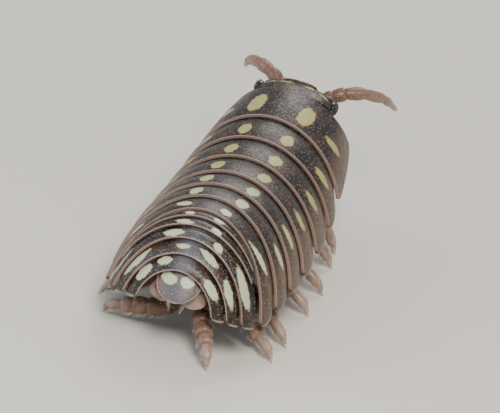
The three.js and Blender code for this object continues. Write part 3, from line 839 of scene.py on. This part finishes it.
def uropod(hand, side):
    dice = random.Random(20 + side)

    def on_blade(x, y, z):
        wide, long, deep = BLADE["half"]
        flat = Vector((x * wide, y * long, 0))
        flat.rotate(Matrix.Rotation(-side * BLADE["lean"], 3, "Z"))
        drop = BLADE["sunk"] + BLADE_SAG * max(0, flat.x * side) ** 2
        return tail_point(side * BLADE["out"] + flat.x, BLADE["along"] + flat.y, z * deep - drop)

    blade = ball("blade", 36, 20, lambda v: on_blade(squared(v.x, 0.8), -squared(v.y, 0.8), v.z))
    write_attributes(blade, reach=BLADE_REACH)
    root, tip = (tail_point(side * CONE[end][0], CONE[end][1], -CONE["sunk"]) for end in ("root", "tip"))
    cone = article(root, tip, CONE["wide"], CONE["reach"])
    fringe = []
    for i in range(FRINGE["hairs"]):
        stray = dice.uniform(-FRINGE["stray"], FRINGE["stray"])
        turn = radians(FRINGE["from"] + FRINGE["turn"] * i / (FRINGE["hairs"] - 1) + stray)
        edge = on_blade(cos(turn) * FRINGE["rooted"], sin(turn) * FRINGE["rooted"], 0)
        tip = on_blade(
            cos(turn) * FRINGE["tips"], sin(turn) * FRINGE["tips"] + FRINGE["back"], -FRINGE["down"])
        fringe.append((edge, tip, FRINGE["wide"], Vector()))
    (root_out, root_back), (tip_out, tip_back) = CONE_TUFT["root"], CONE_TUFT["tip"]
    root = tail_point(side * root_out, root_back, -CONE["sunk"])
    for _ in range(CONE_TUFT["hairs"]):
        stray = dice.uniform(-CONE_TUFT["stray"], CONE_TUFT["stray"])
        tip = tail_point(side * tip_out + stray, tip_back, -CONE_TUFT["sunk"])
        fringe.append((root, tip, CONE_TUFT["wide"], Vector()))
    parts = [blade, cone, needles(fringe)]
    dress(joined(f"uropod_{hand}_blade", parts), limb_chitin, "shell_cuticle", f"uropod_{hand}")


for hand, side in SIDES:
    uropod(hand, side)

# The head: one hard capsule with a raised frontal shield, a lobe over each antenna, the
# clypeus below and the closed mouthparts under it. Its pieces are close to the solid head's.
HEAD_TILT = radians(8)
HEAD_PARTS = [
    {"at": (0, 0.2, -0.74), "half": (1.02, 0.62, 0.62), "power": 0.8},
    {"at": (0, 0.7, -0.34), "half": (0.44, 0.1, 0.2), "power": 0.7, "turn": 0.5},
    {"at": (0, 0.7, -1.08), "half": (0.4, 0.16, 0.12), "power": 0.75},
    {"at": (0, 0.74, -1.26), "half": (0.24, 0.12, 0.11), "power": 0.85},
    {"at": (0, 0.5, -1.34), "half": (0.34, 0.22, 0.22), "power": 0.85},
]
# These stand on each side: the lobe over the antenna, the ridge from there to the eye, the
# slanting ridge of the face, the mandible and the maxilliped that closes the mouth below.
HEAD_PAIRS = [
    {"at": (0.64, 0.66, -0.62), "half": (0.24, 0.17, 0.11), "power": 0.9},
    {"at": (0.62, 0.62, -0.36), "half": (0.26, 0.07, 0.05), "power": 0.9, "lean": 0.3},
    {"at": (0.17, 0.76, -0.76), "half": (0.035, 0.1, 0.2), "power": 0.9, "lean": 0.6},
    {"at": (0.34, 0.6, -1.24), "half": (0.1, 0.18, 0.2), "power": 0.85},
    {"at": (0.13, 0.64, -1.46), "half": (0.1, 0.14, 0.17), "power": 0.7},
]
# Pale patches: the place to the left and forward, and half sizes across and along.
HEAD_PATCHES = [
    (0.3, 0.5, 0.14, 0.06), (-0.3, 0.5, 0.14, 0.06), (0.66, 0.44, 0.1, 0.05), (-0.66, 0.44, 0.1, 0.05)]
PATCH_LEVEL = -0.2
PATCHES_ABOVE = (0.3, -0.55)  # forward and up: no patch shows below this place
BROWN_BELOW = (0.3, -0.5)  # and the face gets browner below this one, over the depth given next
BROWN_OVER_MM = 0.9
CLEAR_OF_NECK_MM = 0.02
VOXEL_MM = 0.022


def head_point(left, forward, up):
    """From the head's own frame, left, forward and up from the neck's edge."""
    point = Vector((left, -forward, up))
    point.rotate(Matrix.Rotation(-HEAD_TILT, 3, "X"))
    point += EDGES[0]["top"]
    point.x += ORIGIN.x
    return point


def rounded(row, side, around, down):
    """One rounded piece of the head, with nothing of it behind the neck's edge."""
    def move(v):
        p = Vector([squared(c, row["power"]) * half for c, half in zip(v, row["half"])])
        p.rotate(Matrix.Rotation(row.get("turn", 0), 3, "X"))
        p.rotate(Matrix.Rotation(row.get("lean", 0), 3, "Y"))
        left, forward, up = (p[i] + row["at"][i] for i in range(3))
        point = head_point(side * left, forward, up)
        wall = (EDGES[0]["tip"] - EDGES[0]["top"]).normalized()
        out = Vector((0, wall.z, -wall.y))
        behind = (point - EDGES[0]["top"]).dot(out)
        return point + out * max(0, CLEAR_OF_NECK_MM - behind)

    return ball("head_part", around, down, move)


head_pieces = [rounded(row, 1, 64, 40) for row in HEAD_PARTS]
head_pieces += [rounded(row, side, 32, 20) for row in HEAD_PAIRS for side in (1, -1)]
head = joined("head_capsule", head_pieces)
face_outward(head)
finish_with(
    head,
    ("REMESH", {"mode": "VOXEL", "voxel_size": VOXEL_MM * MM}),
    ("SMOOTH", {"factor": 0.5, "iterations": 5}),
)
patches = [
    (head_point(x, y, PATCH_LEVEL), Vector((1, 0, 0)), Vector((0, 1, 0)), wide, long, 0)
    for x, y, wide, long in HEAD_PATCHES
]
head_spot, head_middle = [], []
for vertex in head.data.vertices:
    place = vertex.co / MM
    on_top = place.z > head_point(0, *PATCHES_ABOVE).z
    head_spot.append(spot_distance(patches, place) if on_top else FAR_MM)
    head_middle.append(-smooth(0.0, BROWN_OVER_MM, head_point(0, *BROWN_BELOW).z - place.z))
write_attributes(head, spot_mm=head_spot, edge_mm=FAR_MM, middle=head_middle)
dress(head, plate_chitin, "shell_cuticle", "head")

# The eyes: on each side a low dark dome that carries about twenty small round lenses in
# close rows, each of clear hard cuticle over black.
EYE = {"at": (0.92, 0.46, -0.52), "half": (0.12, 0.19, 0.16)}
LENS_MM = 0.034
LENS_ROWS = [(-0.62, 4), (-0.22, 5), (0.2, 6), (0.6, 5)]  # the height on the dome and the number
LENS_STEP = 0.36
LENS_SUNK = 0.92
eye_black, eye_shader = new_material("black_clear_lens")
eye_shader.inputs["Base Color"].default_value = linear("#0b0909")
eye_shader.inputs["Roughness"].default_value = 0.16
eye_shader.inputs["Coat Weight"].default_value = 0.6
for hand, side in SIDES:
    centre, half = EYE["at"], EYE["half"]

    def on_eye(x, y, z):
        return head_point(side * (centre[0] + x * half[0]), centre[1] + y * half[1], centre[2] + z * half[2])

    lenses = [ball("dome", 32, 20, lambda v: on_eye(v.x, v.y, v.z))]
    for level, count in LENS_ROWS:
        for i in range(count):
            forward = (i - (count - 1) / 2) * LENS_STEP
            out = sqrt(max(0.04, 1 - level * level - forward * forward))
            middle = on_eye(out * LENS_SUNK, forward, level)
            lenses.append(ball("lens", 14, 8, lambda v: middle + v * LENS_MM))
    dress(joined(f"eye_{hand}_lenses", lenses), eye_black, "eye", f"eye_{hand}")

# The antennae: five articles of stalk and two of whip, elbowed outward, with short hairs.
# Between them sit the tiny first antennae of three articles.
FEELER_ROOT = (0.4, 0.9, -0.8)
# Each joint from the root: out, ahead and up from there, and the radius.
FEELER = [
    (0, 0, 0, 0.17), (0.1, 0.2, 0.0, 0.19), (0.28, 0.38, 0.06, 0.19), (0.54, 0.56, 0.14, 0.18),
    (0.92, 0.82, 0.12, 0.17), (1.28, 1.32, -0.18, 0.13), (1.42, 1.56, -0.42, 0.1), (1.52, 1.84, -0.72, 0.045),
]
FEELER_REACH = (0.1, 0.12)  # the first article's, and the step from one to the next
FEELER_WAIST = 0.92
FEELER_HAIR_MM = 0.05
TUFT = {"spread": 0.02, "long": 0.09, "wide": 0.009}
SMALL_FEELER = {"root": (0.12, 0.8, -0.84), "step": (0.02, 0.08, -0.02), "wide": (0.045, 0.035),
                "reach": (0.5, 0.6), "articles": 3}
for hand, side in SIDES:
    dice = random.Random(40 + side)
    joints = [
        (head_point(side * (FEELER_ROOT[0] + out), FEELER_ROOT[1] + ahead, FEELER_ROOT[2] + rise), wide)
        for out, ahead, rise, wide in FEELER
    ]
    parts, hairs = [], []
    for i in range(len(joints) - 1):
        (start, start_wide), (end, end_wide) = joints[i], joints[i + 1]
        reach = [FEELER_REACH[0] + FEELER_REACH[1] * j for j in (i, i + 1)]
        parts.append(article(start, end, (start_wide * FEELER_WAIST, end_wide), reach))
        for facing in (Vector((0, 0, 1)), Vector((0, 0, -1)), Vector((side, 1, 0))):
            hairs += hair_row(start, end, end_wide, 2 + i // 2, facing, FEELER_HAIR_MM, dice)
    end, way = joints[-1][0], (joints[-1][0] - joints[-2][0]).normalized()
    for dx in (-TUFT["spread"], 0.0, TUFT["spread"]):
        hairs.append((end, end + way * TUFT["long"] + Vector((dx, 0, 0)), TUFT["wide"], Vector()))
    small = []
    for i in range(SMALL_FEELER["articles"] + 1):
        out, ahead, rise = (root + step * i for root, step in zip(SMALL_FEELER["root"], SMALL_FEELER["step"]))
        small.append(head_point(side * out, ahead, rise))
    for start, end in zip(small, small[1:]):
        parts.append(article(start, end, SMALL_FEELER["wide"], SMALL_FEELER["reach"]))
    parts.append(needles(hairs))
    dress(joined(f"antenna_{hand}_limb", parts), limb_chitin, "limb_cuticle", f"antenna_{hand}")
